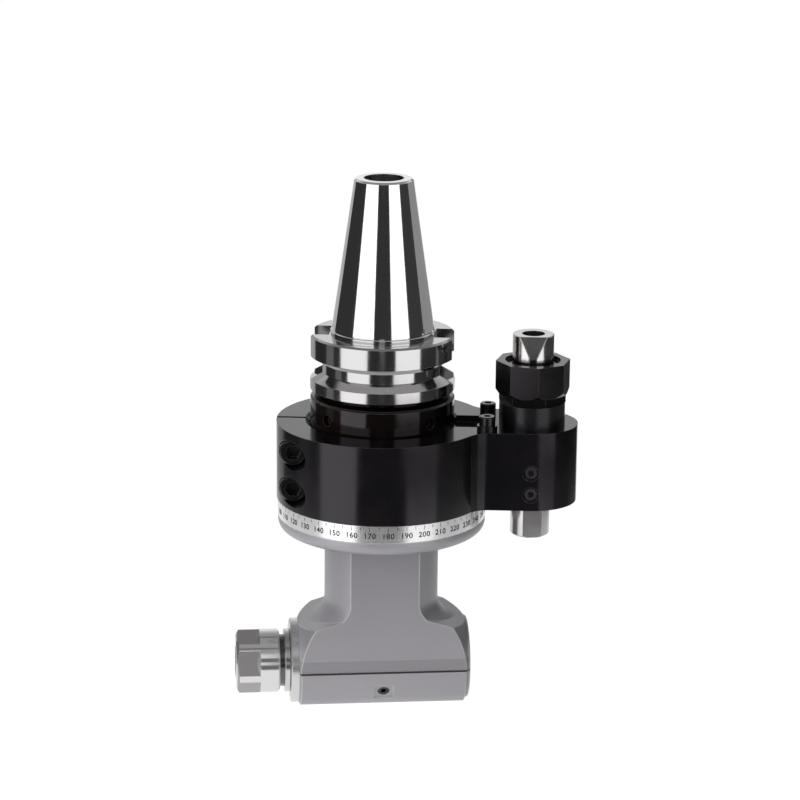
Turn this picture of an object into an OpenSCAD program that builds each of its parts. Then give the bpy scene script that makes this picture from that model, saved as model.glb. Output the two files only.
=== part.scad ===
// Right angle milling head on a 7/24 taper shank, size 40, with a locating pin arm.
// Origin: centre of the taper's gauge plane. +Z runs up the shank, the collet nose points along -X.

/* [Taper shank] */
// Gauge diameter of the 7/24 taper
gauge_d = 44.45; // [43:0.05:46]
// Length of the taper above the gauge plane
taper_len = 65.4; // [60:0.1:70]
// Diameter of the driving flange
flange_d = 63; // [61:0.5:66]
// Distance from the gauge plane down to the flange's face
flange_gap = 2; // [1.6:0.1:2.4]
// Distance from the gauge plane down to the flange's far end
flange_end = 27; // [26.5:0.1:28.5]
// Distance from the gauge plane down to the middle of the gripper groove
groove_drop = 16.6; // [16:0.1:17.2]
// Width of the gripper groove at its mouth
groove_w = 10; // [9:0.1:11]
// Diameter at the floor of the gripper groove
groove_floor_d = 53; // [51:0.5:55]
// Width of each of the two drive slots
drive_slot_w = 16.1; // [15:0.1:17]
// Distance from the axis to the floor of a drive slot
drive_slot_floor = 22.6; // [22.4:0.1:24]
// Turn of the drive slots about the shank
drive_slot_turn = -9.7; // [-20:0.1:20]
// Tapping diameter of the pull stud's thread
stud_bore_d = 14; // [13:0.1:15]
// Depth of the pull stud's thread
stud_bore_depth = 42; // [36:1:46]
// Diameter of the counterbore that guides the pull stud
stud_guide_d = 17; // [16.5:0.1:18]
// Depth of that counterbore
stud_guide_depth = 9; // [6:0.5:12]

/* [Input shaft and bearings] */
// Diameter of the shaft where the seal runs
seal_land_d = 34; // [33:0.5:36]
// Bore of the two main bearings
main_bore = 30; // [28:0.5:31]
// Outer diameter of the two main bearings
main_od = 55; // [53:0.5:56]
// Width of one main bearing
main_w = 13; // [12:0.5:14]
// Length of the spacer between the main bearings
spacer_h = 7; // [5:0.5:8]
// Bore of the pilot bearing above the gears and of the nose bearings
small_bore = 20; // [19:0.5:20.5]
// Outer diameter of the pilot, nose and tail bearings
small_od = 32; // [31.5:0.1:32.5]
// Width of the pilot bearing and of each nose bearing
small_w = 7; // [6.5:0.1:7.5]
// Bore of the tail bearing
tail_bore = 12; // [11:0.5:12.5]
// Width of the tail bearing
tail_w = 10; // [9:0.5:10.5]

/* [Cartridge and swivel ring] */
// Outer diameter of the cartridge and its collar
cartridge_d = 62.6; // [61:0.1:64]
// Height of the collar that shows above the swivel ring
collar_show = 11.5; // [9:0.5:14]
// Diameter of each spanner hole in the collar
spanner_hole_d = 5; // [4:0.5:6]
// Turn of the spanner holes about the shank
spanner_hole_turn = 35.5; // [0:0.5:45]
// Outer diameter of the swivel ring
ring_d = 92; // [90:0.5:96]
// Height of the swivel ring and its arm
ring_h = 34.4; // [33:0.2:38]
// Direction of the arm, as an angle about the shank
arm_turn = -7.7; // [-90:0.1:90]
// Distance from the shank's axis to the locating pin
pin_reach = 65; // [62:0.5:70]
// Width of the arm and of its round end
arm_w = 40; // [38:0.5:42]
// Radius of the blend between the ring and the arm
arm_blend_r = 10.5; // [6:0.5:14]
// Width of the slit opposite the arm
slit_w = 2; // [1.4:0.1:3]
// Distance between the two pinch screws
pinch_pitch = 16.2; // [15.6:0.1:17]

/* [Locating pin] */
// Diameter of the locating pin's head, which shows above the pin nut
pin_head_d = 18; // [17.4:0.1:18.2]
// Diameter of the locating pin's shaft
pin_d = 17.2; // [16.8:0.1:17.4]
// Distance from the gauge plane down to the pin's top
pin_drop = 1.6; // [0:0.1:3]
// Length of the locating pin
pin_len = 90; // [88:0.2:96]
// Bore in the pin's top
pin_bore_d = 9.9; // [8:0.1:10.5]
// Distance from the pin's axis to its keyway's floor
keyway_floor = 6.8; // [6.5:0.1:7.2]
// Width of the keyway
keyway_w = 3; // [2.6:0.1:3.4]
// Travel of the pin when it is pushed down
pin_travel = 8; // [6:0.5:9]
// Width across the flats of the pin nut
pin_nut_af = 30; // [29.6:0.1:32]
// Height of the pin nut
pin_nut_h = 14.3; // [13:0.1:15]
// Width across the flats at the pin's lower end
pin_flat_af = 15; // [14:0.1:16]

/* [Scale and housing] */
// Outer diameter of the scale ring and of the housing's flange
scale_d = 90.8; // [88:0.2:94]
// Height of the scale ring
scale_h = 7.6; // [7:0.1:9]
// Height of the housing's flange
foot_h = 6.2; // [6:0.1:7.5]
// Diameter of the housing's neck
neck_d = 50; // [48:0.5:54]
// Depth of the cross block from its front to its back
block_depth = 40; // [38.5:0.5:42]
// Length of the cross block along the output spindle
block_len = 74; // [72:0.5:78]
// Diameter of the ball that the ends of the cross block are turned to
block_ball_d = 82.8; // [82:0.2:86]
// Distance from the gauge plane down to the output spindle
spindle_drop = 151.5; // [150:0.1:156]
// Slope of the cross block's shoulders
shoulder_slope = 17.1; // [12:0.1:20]
// Radius of the blend between the neck and the shoulders
neck_blend_r = 12; // [8:0.5:14]

/* [Output spindle] */
// Teeth of each bevel gear
gear_teeth = 20; // [18:2:22]
// Module of the bevel gears
gear_module = 1.4; // [1.3:0.02:1.44]
// Diameter of the nose cover
nose_cover_d = 37.4; // [36:0.2:37.8]
// Thickness of the nose cover's flange
nose_cover_t = 3.6; // [3:0.1:4.5]
// Diameter of the ring on the spindle in front of the cover
nose_ring_d = 28; // [26:0.2:30]
// Diameter of the spindle's thread for the collet nut
nose_thread_d = 22; // [21.4:0.1:22.4]
// Diameter of the collet nut
nut_d = 28.2; // [27.6:0.1:30]
// Length of the collet nut
nut_len = 19.3; // [18.8:0.1:21]
// Width across the collet nut's flats
nut_af = 25.8; // [24.6:0.1:27]
// Largest diameter of the collet
collet_d = 17; // [16.6:0.1:17.2]
// Diameter of the tool shank that the collet holds
tool_d = 8; // [6:0.5:8]

/* [Hidden] */
$fn = 96;

// Clearances and small features
fit = 0.02;          // between pieces of one group that seat on each other
run_fit = 0.05;      // radial clearance of a piece that turns or slides in another
swivel_gap = 0.3;    // between faces that move past each other
eps = 0.05;          // how far a cut reaches past a face
edge = 0.8;          // common chamfer
sphere_fn = 24;      // facets of a bearing ball before it is made exact

// Taper shank
taper_ratio = 7 / 24;
gauge_r = gauge_d / 2;
taper_end_r = gauge_r - taper_len * taper_ratio / 2;
flange_r = flange_d / 2;
flange_top = -flange_gap;
flange_bottom = -flange_end;
taper_foot_drop = 0.5;
taper_foot_w = 0.35;
groove_floor_r = groove_floor_d / 2;
groove_half = groove_w / 2;
groove_floor_half = groove_half - (flange_r - groove_floor_r) * tan(30);
lip_h = 1.5;
lip_in = 2.2;
lip_bottom = flange_bottom - lip_h;
drive_slot_depth = 20.6;
stud_tip = 4;

// Spanner holes and screws, by thread size
m4_r = 2;
m4_head_r = 3.5;
m4_head_h = 4;
m4_socket_af = 3;
m6_r = 3;
m6_socket_af = 3;
m8_r = 4;
m8_head_r = 6;
m8_head_h = 8;
m8_socket_af = 6;
spanner_depth = 3;

// Input side, from the flange down
collar_gap = 1.1;
collar_top = lip_bottom - collar_gap;
ring_top = collar_top - collar_show;
ring_bottom = ring_top - ring_h;
collar_sink = 2.5;
collar_bottom = ring_top - collar_sink;
collar_nose = 2.9;
upper_top = collar_bottom - collar_nose;
lower_top = upper_top - main_w - spacer_h;
lower_bottom = lower_top - main_w;
main_r = main_bore / 2;
main_od_r = main_od / 2;
seal_land_r = seal_land_d / 2;
seal_wall = 4;
seal_h = 6;
seal_top = collar_top - 2;
shaft_nut_h = 6;
shaft_nut_wall = 6;
shaft_nut_r = main_r + shaft_nut_wall;
shaft_nut_slot_w = 4;
shaft_nut_slot_depth = 1.5;
shaft_nut_bottom = lower_bottom - shaft_nut_h;
cartridge_r = cartridge_d / 2;
scale_r = scale_d / 2;
scale_top = ring_bottom - swivel_gap;
scale_bottom = scale_top - scale_h;
foot_bottom = scale_bottom - foot_h;
scale_wall = 5.3;
scale_seat_r = scale_r - scale_wall;
cartridge_screw_land = 4.4;
spigot_h = 4.6;
spigot_r = 29;
cartridge_bottom = scale_bottom - spigot_h;
cartridge_lip_r = main_od_r - 3;
cartridge_screw_n = 6;
cartridge_screw_r = scale_seat_r - cartridge_screw_land;
foot_round = 4.2;

// Housing
spindle_z = -spindle_drop;
block_half = block_len / 2;
depth_half = block_depth / 2;
ball_r = block_ball_d / 2;
neck_r = neck_d / 2;
shoulder_x = 31.3;
shoulder_up = 20.1;
small_r = small_bore / 2;
small_od_r = small_od / 2;
neck_flat = sqrt(pow(neck_r, 2) - pow(depth_half, 2));
neck_bore_r = small_od_r + 0.5;
gear_bore_r = small_od_r - 0.6;
seam_w = 0.5;
seam_depth = 0.9;
band_h = 5.9;
band_in = 0.7;
port_turn = 30;
port_side = 8.3;
port_sink = 0.9;
port_r = 2.7;
port_af = 2.5;
port_reach = depth_half - port_sink;

// Bevel gears: the axes cross at the spindle's height, and the pitch cones have their tips there
gear_pitch_r = gear_module * gear_teeth / 2;
gear_tip = gear_module * cos(45);
gear_root = 1.25 * gear_module * cos(45);
gear_face = 4.24;
gear_scale = (gear_pitch_r - gear_face) / gear_pitch_r;
gear_hub_r = 12;
gear_bore_small_r = tail_bore / 2;
gear_pin_r = 1.5;
gear_step = 360 / gear_teeth;

// Pilot bearing, over the drive gear
pilot_w = small_w;
pilot_bottom = spindle_z + gear_pitch_r + 9.5;
pilot_top = pilot_bottom + pilot_w;
shaft_waist_r = small_r + 2.5;
gear_pin_z = spindle_z + gear_pitch_r + 5;
shaft_end = spindle_z + gear_pitch_r - gear_face + 0.5;

// Output spindle, along X
cover_front = -block_half - nose_cover_t;
cover_back = -block_half;
cover_spigot = 2.8;
nose_bearing_front = cover_back + cover_spigot;
nose_bearing_back = nose_bearing_front + 2 * small_w;
clip_t = 1.2;
clip_deep = 0.8;
clip_wall = 1.8;
nose_land_r = small_r + 1.5;
nose_seal_wall = 2.5;
nose_seal_t = 3;
nose_lip_t = 0.7;
nose_ring_t = 2.3;
nose_ring_back = cover_front - swivel_gap;
nose_ring_front = nose_ring_back - nose_ring_t;
nut_show = 2;
nut_back = nose_ring_front - nut_show;
nut_front = nut_back - nut_len;
thread_r = nose_thread_d / 2;
nut_hollow = 6.1;
spindle_front = nut_front + nut_hollow;
spindle_lock_t = 4;
spindle_lock_r = 13;
spindle_lock_back = nose_bearing_back + spindle_lock_t;
waist_r = 8;
waist_end = gear_pitch_r - gear_face - 1.8;
tail_bearing_front = gear_pitch_r + 5.8;
tail_bearing_back = tail_bearing_front + tail_w;
tail_lock_t = 4.4;
tail_lock_r = 9;
tail_thread_r = gear_bore_small_r - 0.5;
tail_end = tail_bearing_back + tail_lock_t;
end_cap_t = 1.2;
end_cap_r = nose_cover_d / 2 - 0.4;
end_cap_wall = 4;
end_cap_face = 1.2;
end_cap_gap = 0.6;
end_cap_space = max(block_half - end_cap_face, tail_end + end_cap_gap);
end_cap_front = end_cap_space + end_cap_face + end_cap_t;
end_cap_pin_inset = 6;
end_cap_pin_r = 1.5;
driven_pin_x = gear_pitch_r + 2.9;

// Collet and nut, along X
cone_angle = 8;
collet_r = collet_d / 2;
collet_face = nut_front + 0.6;
collet_lip = 2.3;
collet_groove = 2.2;
collet_groove_in = 1.5;
collet_wide = collet_face + collet_lip + collet_groove;
collet_len = 27;
collet_back = collet_face + collet_len;
collet_back_r = collet_r - (collet_back - collet_wide) * tan(cone_angle);
collet_lip_r = collet_r - 0.5;
collet_face_r = collet_lip_r - collet_lip * tan(30);
collet_slots = 4;
collet_slot_w = 0.6;
collet_slot_part = 0.72;
tool_r = tool_d / 2;
seat_fit = 0.06;
nut_r = nut_d / 2;
nut_flat_len = 10.7;
nut_corner_turn = 45.6;
nut_runout = 1.4;
nut_ring_r = collet_lip_r + 1.3;
nut_ring_t = collet_groove - 0.4;
nut_ring_front = collet_face + collet_lip + 0.2;
nut_mouth_r = collet_face_r + 0.35;

// Swivel ring and arm, in the arm's own frame with the arm along +X
ring_r = ring_d / 2;
arm_half = arm_w / 2;
ring_bore_r = cartridge_r + run_fit;
ring_bevel = 2.2;
ring_middle = (ring_top + ring_bottom) / 2;
blend_x = sqrt(pow(ring_r + arm_blend_r, 2) - pow(arm_half + arm_blend_r, 2));
blend_y = arm_half + arm_blend_r;
pinch_inset = 8.7;
pinch_wall = 1.5;
pinch_drop = 0.7;
pinch_reach = max(ring_r - pinch_inset, cartridge_r + m8_r + pinch_wall);
pinch_middle = ring_middle - pinch_drop;
pinch_head_y = -22;
pinch_seat_y = pinch_head_y + m8_head_h;
pinch_end_y = 12;
counterbore_r = m8_head_r + 0.4;
sleeve_r = 13;
sleeve_neck_r = 11.6;
sleeve_collar_r = 14.3;
sleeve_bottom = ring_bottom + 0.3;
pocket_depth = 3;
pocket_x0 = 29;
pocket_x1 = 43;
pocket_y0 = -10.5;
pocket_y1 = 8.2;
cap_screw_x = 45.8;
cap_screw_y = 15.5;
cap_screw_grip = 9;
washer_r = 4.4;
washer_h = 2.5;
set_screw_high = ring_middle - 0.5;
set_screw_pitch = 9.6;
set_screw_sink = 1.1;
set_screw_flare = 0.6;
set_screw_len = 8.4;
dog_r = keyway_w / 2 - 0.1;

// Locating pin, around its own axis
pin_r = pin_d / 2;
pin_head_r = pin_head_d / 2;
pin_show = 11.6;
pin_top = -pin_drop;
pin_bottom = pin_top - pin_len;
pin_bore_depth = 13;
pin_bevel = 0.3;
funnel_w = 2 * sqrt(pow(pin_head_r, 2) - pow(keyway_floor, 2)) - 0.1;
funnel_h = 9.6;
keyway_bottom = set_screw_high - set_screw_pitch - dog_r - 0.3;
guide_r = pin_r + run_fit;
spring_space_r = pin_r + 2.1;
nut_top = pin_top - pin_show;
nut_recess_r = pin_head_r + 3;
nut_bottom = nut_top - pin_nut_h;
nut_recess = 1.6;
nut_lip = nut_recess + 1.6;
jam_h = 3.6;
jam_af = 25.2;
jam_turn = -6.5;
jam_bottom = nut_bottom - swivel_gap - jam_h;
pin_nut_turn = 8.7;
pin_flat_turn = 8.6;
pin_flat_len = 16;
clip_top = nut_top - nut_lip - run_fit;
pin_clip_t = 1.2;
pin_clip_deep = 0.7;
clip_bottom = clip_top - pin_clip_t;
sleeve_top = nut_top - nut_lip - 0.5;
spring_top = clip_bottom - run_fit;
spring_bottom = ring_top + run_fit;
spring_wire_r = 0.6;
spring_mean_r = pin_r + 1.05;
clip_reach = 1.8;
spring_turns = 7;
spring_steps = 20;
spring_sides = 8;

// Bearing proportions: share of the width and of the ring gap that a ball takes
ball_share = 0.52;
ball_play = 0.05;

// A ring between two radii and two heights
module ring_solid(inner, outer, low, high) {
    translate([0, 0, low])
        difference() {
            cylinder(r = outer, h = high - low);
            translate([0, 0, -eps])
                cylinder(r = inner, h = high - low + 2 * eps);
        }
}

// A plain hole or shaft between two heights
module rod(radius, low, high) {
    translate([0, 0, low])
        cylinder(r = radius, h = high - low);
}

// A six-sided key socket that opens upwards
module key_socket(flats, low, high) {
    translate([0, 0, low])
        cylinder(r = flats / 2 / cos(30), h = high - low, $fn = 6);
}

// An eight-sided prism, given across its flats
module octagon(flats, low, high, turn) {
    translate([0, 0, low])
        rotate(turn)
            cylinder(r = flats / 2 / cos(22.5), h = high - low, $fn = 8);
}

// A socket head screw: its head sits on the plane z = 0 and its shank hangs below
module cap_screw(radius, head_r, head_h, flats, length) {
    difference() {
        union() {
            cylinder(r = head_r, h = head_h - head_r * 0.12);
            translate([0, 0, head_h - head_r * 0.12])
                cylinder(r1 = head_r, r2 = head_r * 0.88, h = head_r * 0.12);
            translate([0, 0, -length])
                cylinder(r = radius - fit, h = length);
        }
        key_socket(flats, head_h * 0.45, head_h + eps);
    }
}

// Puts what is built round Z onto the output spindle's axis: up becomes +X
module on_spindle() {
    translate([0, 0, spindle_z])
        rotate([0, 90, 0])
            children();
}

// Puts what is built in the arm's frame in its place
module on_arm() {
    rotate(arm_turn)
        children();
}

// Puts what is built round the locating pin's axis in its place
module on_pin() {
    on_arm()
        translate([pin_reach, 0, 0])
            children();
}

// One ring of a ball bearing, cut by the track that the balls run in
module bearing_ring(inner, outer, track_r, ball, low, high) {
    rotate_extrude()
        difference() {
            translate([inner, low])
                square([outer - inner, high - low]);
            translate([track_r, (low + high) / 2])
                circle(r = ball + ball_play);
        }
}

function track_radius(bore_r, od_r) = (bore_r + od_r) / 2;
function ball_size(bore_r, od_r, width) = min(width, od_r - bore_r) * ball_share / 2;

module inner_ring(bore_r, od_r, low, high) {
    ball = ball_size(bore_r, od_r, high - low);
    track = track_radius(bore_r, od_r);
    bearing_ring(bore_r + fit, track - ball * 0.35, track, ball, low + fit, high - fit);
}

module outer_ring(bore_r, od_r, low, high) {
    ball = ball_size(bore_r, od_r, high - low);
    track = track_radius(bore_r, od_r);
    bearing_ring(track + ball * 0.35, od_r - fit, track, ball, low + fit, high - fit);
}

module ball_row(bore_r, od_r, low, high) {
    ball = ball_size(bore_r, od_r, high - low);
    track = track_radius(bore_r, od_r);
    count = floor(PI * track / ball / 1.25);
    for (i = [0:count - 1])
        rotate(i * 360 / count)
            translate([track, 0, (low + high) / 2])
                sphere(r = ball, $fn = sphere_fn);
}

// Outline of a bevel gear at its large end
function gear_points(turn) = [
    for (i = [0:gear_teeth - 1])
        for (p = [[-0.3, -gear_root], [-0.15, gear_tip], [0.15, gear_tip], [0.3, -gear_root]])
            (gear_pitch_r + p[1]) * [cos((i + p[0]) * gear_step + turn), sin((i + p[0]) * gear_step + turn)]
];

// A bevel gear round Z with its pitch cone's tip at the origin, its hub upwards
module bevel_gear(turn, hub_top) {
    difference() {
        union() {
            translate([0, 0, gear_pitch_r])
                mirror([0, 0, 1])
                    linear_extrude(height = gear_face, scale = gear_scale)
                        polygon(gear_points(turn));
            rod(gear_hub_r, gear_pitch_r - eps, hub_top);
        }
        rod(gear_bore_small_r + fit, 0, hub_top + eps);
    }
}

// Input shaft

shank_outline = [
    [0, taper_len],
    [taper_end_r - edge, taper_len],
    [taper_end_r + edge * taper_ratio / 2, taper_len - edge],
    [gauge_r, 0],
    [gauge_r, -taper_foot_drop],
    [gauge_r + taper_foot_w, -taper_foot_drop - taper_foot_w],
    [gauge_r + taper_foot_w, flange_top],
    [flange_r - edge, flange_top],
    [flange_r, flange_top - edge],
    [flange_r, -groove_drop + groove_half],
    [groove_floor_r, -groove_drop + groove_floor_half],
    [groove_floor_r, -groove_drop - groove_floor_half],
    [flange_r, -groove_drop - groove_half],
    [flange_r, flange_bottom + edge],
    [flange_r - edge, flange_bottom],
    [flange_r - lip_in, lip_bottom],
    [seal_land_r, lip_bottom],
    [seal_land_r, upper_top],
    [main_r, upper_top],
    [main_r, lower_bottom],
    [main_r - 0.5, lower_bottom],
    [main_r - 0.5, shaft_nut_bottom],
    [shaft_waist_r, shaft_nut_bottom - 1.5],
    [shaft_waist_r, pilot_top],
    [small_r, pilot_top],
    [small_r, pilot_bottom],
    [gear_bore_small_r, pilot_bottom],
    [gear_bore_small_r, shaft_end],
    [0, shaft_end]
];

module drive_slots() {
    slot_out = flange_r + eps - drive_slot_floor;
    rotate(drive_slot_turn)
        for (side = [0, 180])
            rotate(side)
                translate([drive_slot_floor, -drive_slot_w / 2, flange_top - drive_slot_depth])
                    cube([slot_out, drive_slot_w, drive_slot_depth + eps]);
}

module taper_shank() {
    color("silver")
        difference() {
            rotate_extrude()
                polygon(shank_outline);
            drive_slots();
            rod(stud_bore_d / 2, taper_len - stud_bore_depth, taper_len + eps);
            rod(stud_guide_d / 2, taper_len - stud_guide_depth, taper_len + eps);
            translate([0, 0, taper_len - stud_bore_depth - stud_tip])
                cylinder(r1 = 0, r2 = stud_bore_d / 2, h = stud_tip);
            translate([0, 0, gear_pin_z])
                rotate([0, 90, 0])
                    cylinder(r = gear_pin_r + fit, h = 3 * gear_hub_r, center = true);
        }
}

module drive_gear() {
    color("dimgray")
        difference() {
            translate([0, 0, spindle_z])
                bevel_gear(0, pilot_bottom - spindle_z - fit);
            translate([0, 0, gear_pin_z])
                rotate([0, 90, 0])
                    cylinder(r = gear_pin_r + fit, h = 3 * gear_hub_r, center = true);
        }
}

module drive_gear_pin() {
    color("gray")
        translate([0, 0, gear_pin_z])
            rotate([0, 90, 0])
                cylinder(r = gear_pin_r, h = 2 * gear_hub_r - 0.4, center = true);
}

module shaft_lock_nut() {
    color("dimgray")
        difference() {
            ring_solid(main_r - 0.5 + fit, shaft_nut_r, shaft_nut_bottom, lower_bottom - fit);
            for (i = [0:3])
                rotate(i * 90)
                    translate([shaft_nut_r - shaft_nut_slot_depth, -shaft_nut_slot_w / 2, shaft_nut_bottom - eps])
                        cube([2 * shaft_nut_slot_depth, shaft_nut_slot_w, shaft_nut_h + 2 * eps]);
        }
}

module shaft_spacer() {
    color("gray")
        ring_solid(main_r + fit, main_r + 3, lower_top + fit, upper_top - main_w - fit);
}

module upper_bearing_inner() {
    color("lightgray")
        inner_ring(main_r, main_od_r, upper_top - main_w, upper_top);
}

module upper_bearing_balls() {
    color("white")
        ball_row(main_r, main_od_r, upper_top - main_w, upper_top);
}

module upper_bearing_outer() {
    color("lightgray")
        outer_ring(main_r, main_od_r, upper_top - main_w, upper_top);
}

module lower_bearing_inner() {
    color("lightgray")
        inner_ring(main_r, main_od_r, lower_bottom, lower_top);
}

module lower_bearing_balls() {
    color("white")
        ball_row(main_r, main_od_r, lower_bottom, lower_top);
}

module lower_bearing_outer() {
    color("lightgray")
        outer_ring(main_r, main_od_r, lower_bottom, lower_top);
}

module pilot_bearing_inner() {
    color("lightgray")
        inner_ring(small_r, small_od_r, pilot_bottom, pilot_top);
}

module pilot_bearing_balls() {
    color("white")
        ball_row(small_r, small_od_r, pilot_bottom, pilot_top);
}

module pilot_bearing_outer() {
    color("lightgray")
        outer_ring(small_r, small_od_r, pilot_bottom, pilot_top);
}

// Casing

module bearing_collar() {
    seal_r = seal_land_r + seal_wall;
    color([0.13, 0.1, 0.09])
        difference() {
            union() {
                rod(cartridge_r, collar_bottom, collar_top - edge);
                translate([0, 0, collar_top - edge])
                    cylinder(r1 = cartridge_r, r2 = cartridge_r - edge, h = edge);
                rod(main_od_r - 0.1, upper_top + fit, collar_bottom + eps);
            }
            rod(seal_land_r + 0.6, upper_top - eps, collar_top + eps);
            rod(seal_r, seal_top - seal_h, collar_top + eps);
            for (i = [0:3])
                rotate(spanner_hole_turn + i * 90)
                    translate([cartridge_r - spanner_depth, 0, ring_top + collar_show * 0.4])
                        rotate([0, 90, 0])
                            cylinder(d = spanner_hole_d, h = spanner_depth + eps);
        }
}

module shaft_seal() {
    color([0.1, 0.1, 0.1])
        ring_solid(seal_land_r + run_fit, seal_land_r + seal_wall - fit, seal_top - seal_h + fit, seal_top);
}

cartridge_outline = [
    [0, collar_bottom - fit],
    [cartridge_r, collar_bottom - fit],
    [cartridge_r, scale_top],
    [scale_seat_r - fit, scale_top],
    [scale_seat_r - fit, scale_bottom + fit],
    [spigot_r - fit, scale_bottom + fit],
    [spigot_r - fit, cartridge_bottom + fit],
    [0, cartridge_bottom + fit]
];

module cartridge() {
    color([0.25, 0.25, 0.26])
        difference() {
            rotate_extrude()
                polygon(cartridge_outline);
            rod(main_od_r, lower_bottom, collar_bottom + eps);
            rod(cartridge_lip_r, cartridge_bottom - eps, lower_bottom + eps);
            for (i = [0:cartridge_screw_n - 1])
                rotate(i * 360 / cartridge_screw_n)
                    translate([cartridge_screw_r, 0, 0]) {
                        rod(m4_head_r + 0.25, scale_top - m4_head_h - 0.4, scale_top + eps);
                        rod(m4_r + 0.25, cartridge_bottom - eps, scale_top);
                    }
        }
}

module cartridge_screws() {
    color([0.12, 0.12, 0.12])
        for (i = [0:cartridge_screw_n - 1])
            rotate(i * 360 / cartridge_screw_n)
                translate([cartridge_screw_r, 0, scale_top - m4_head_h - 0.4 + fit])
                    cap_screw(m4_r, m4_head_r, m4_head_h, m4_socket_af, scale_h - m4_head_h + 4);
}

module scale_ring() {
    color([0.75, 0.75, 0.76])
        ring_solid(scale_seat_r, scale_r, scale_bottom + fit, scale_top);
}

// Outline of the housing's flange, with its lower edge rounded
module foot_outline() {
    difference() {
        translate([0, foot_bottom])
            square([scale_r, foot_h]);
        translate([scale_r - foot_round, foot_bottom + foot_round])
            difference() {
                translate([0, -foot_round - eps])
                    square([foot_round + eps, foot_round + eps]);
                circle(r = foot_round);
            }
    }
}

function shoulder_height(x) = shoulder_up + (shoulder_x - x) * tan(shoulder_slope);

// Upper half of the cross block, with sloped shoulders
module block_top() {
    rotate([90, 0, 0])
        linear_extrude(height = block_depth, center = true)
            polygon([
                [-block_half, 0],
                [block_half, 0],
                [block_half, shoulder_height(block_half)],
                [neck_flat, shoulder_height(neck_flat)],
                [-neck_flat, shoulder_height(neck_flat)],
                [-block_half, shoulder_height(block_half)]
            ]);
}

// Lower half of the cross block, half round about the spindle's axis
module block_under() {
    intersection() {
        rotate([0, 90, 0])
            cylinder(r = depth_half, h = block_len, center = true);
        translate([-block_half, -depth_half, -depth_half])
            cube([block_len, block_depth, depth_half]);
    }
}

module block_solid() {
    intersection() {
        union() {
            block_under();
            block_top();
        }
        sphere(r = ball_r);
    }
}

// Blend between the neck and the shoulders, round the neck
module neck_blend() {
    centre_r = neck_r + neck_blend_r;
    centre_up = shoulder_height(centre_r) + neck_blend_r / cos(shoulder_slope);
    foot_r = centre_r - neck_blend_r * sin(shoulder_slope);
    rotate_extrude()
        difference() {
            square([foot_r, centre_up]);
            translate([centre_r, centre_up])
                circle(r = neck_blend_r);
        }
}

// The seam at the spindle's height and the flat band above it, front and back
module seam_cut() {
    for (side = [0, 180])
        rotate(side)
            rotate([90, 0, 90])
                linear_extrude(height = block_len + 2, center = true)
                    polygon([
                        [-depth_half - 1, band_h],
                        [-depth_half, band_h],
                        [-depth_half + band_in, seam_w / 2],
                        [-depth_half + seam_depth, seam_w / 2],
                        [-depth_half + seam_depth, -seam_w / 2],
                        [-depth_half - 1, -seam_w / 2]
                    ]);
}

module housing() {
    color([0.62, 0.62, 0.64])
        difference() {
            union() {
                rotate_extrude()
                    foot_outline();
                translate([0, 0, spindle_z])
                    block_solid();
                intersection() {
                    union() {
                        rod(neck_r, spindle_z, foot_bottom + eps);
                        translate([0, 0, spindle_z])
                            neck_blend();
                    }
                    translate([-block_half, -depth_half, spindle_z])
                        cube([block_len, block_depth, spindle_drop]);
                }
            }
            rod(spigot_r, cartridge_bottom, scale_bottom + eps);
            rod(neck_bore_r, pilot_top, cartridge_bottom + eps);
            rod(small_od_r, pilot_bottom, pilot_top + eps);
            rod(gear_bore_r, spindle_z, pilot_bottom + eps);
            on_spindle() {
                rod(small_od_r, -block_half - eps, block_half + eps);
                rod(small_od_r + clip_deep, nose_bearing_back, nose_bearing_back + clip_t + fit);
            }
            translate([0, 0, spindle_z])
                seam_cut();
            for (i = [0:cartridge_screw_n - 1])
                rotate(i * 360 / cartridge_screw_n)
                    translate([cartridge_screw_r, 0, 0])
                        rod(m4_r, foot_bottom + 1.4, scale_bottom + eps);
            port_place() {
                translate([-port_side / 2, -port_side / 2, port_reach])
                    cube([port_side, port_side, 4]);
                rod(port_r + fit, small_od_r - 1, port_reach + eps);
            }
        }
}

// Looks out of the cross block's front, below the spindle's height
module port_place() {
    translate([0, 0, spindle_z])
        rotate([90 + port_turn, 0, 0])
            children();
}

module port_plug() {
    color([0.15, 0.15, 0.15])
        port_place()
            difference() {
                rod(port_r, small_od_r + 0.4, port_reach - 0.2);
                key_socket(port_af, port_reach - 2, port_reach);
            }
}

module nose_cover() {
    cover_r = nose_cover_d / 2;
    seal_r = nose_land_r + nose_seal_wall;
    color([0.7, 0.7, 0.72])
        on_spindle()
            difference() {
                union() {
                    translate([0, 0, cover_front])
                        cylinder(r1 = cover_r - 0.5, r2 = cover_r, h = 0.5);
                    rod(cover_r, cover_front + 0.5, cover_back - fit);
                    rod(small_od_r - fit, cover_back - 0.1, nose_bearing_front - fit);
                }
                rod(nose_land_r + 0.3, cover_front - eps, nose_bearing_front);
                rod(seal_r, cover_front + nose_lip_t, nose_bearing_front);
                for (i = [0:3])
                    rotate(45 + i * 90)
                        translate([(seal_r + cover_r) / 2, 0, 0])
                            rod(1.2, cover_front - eps, cover_front + 2);
            }
}

module nose_seal() {
    color([0.1, 0.1, 0.1])
        on_spindle()
            ring_solid(nose_land_r + run_fit, nose_land_r + nose_seal_wall - fit,
                cover_front + nose_lip_t + fit, cover_front + nose_lip_t + nose_seal_t);
}

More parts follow.
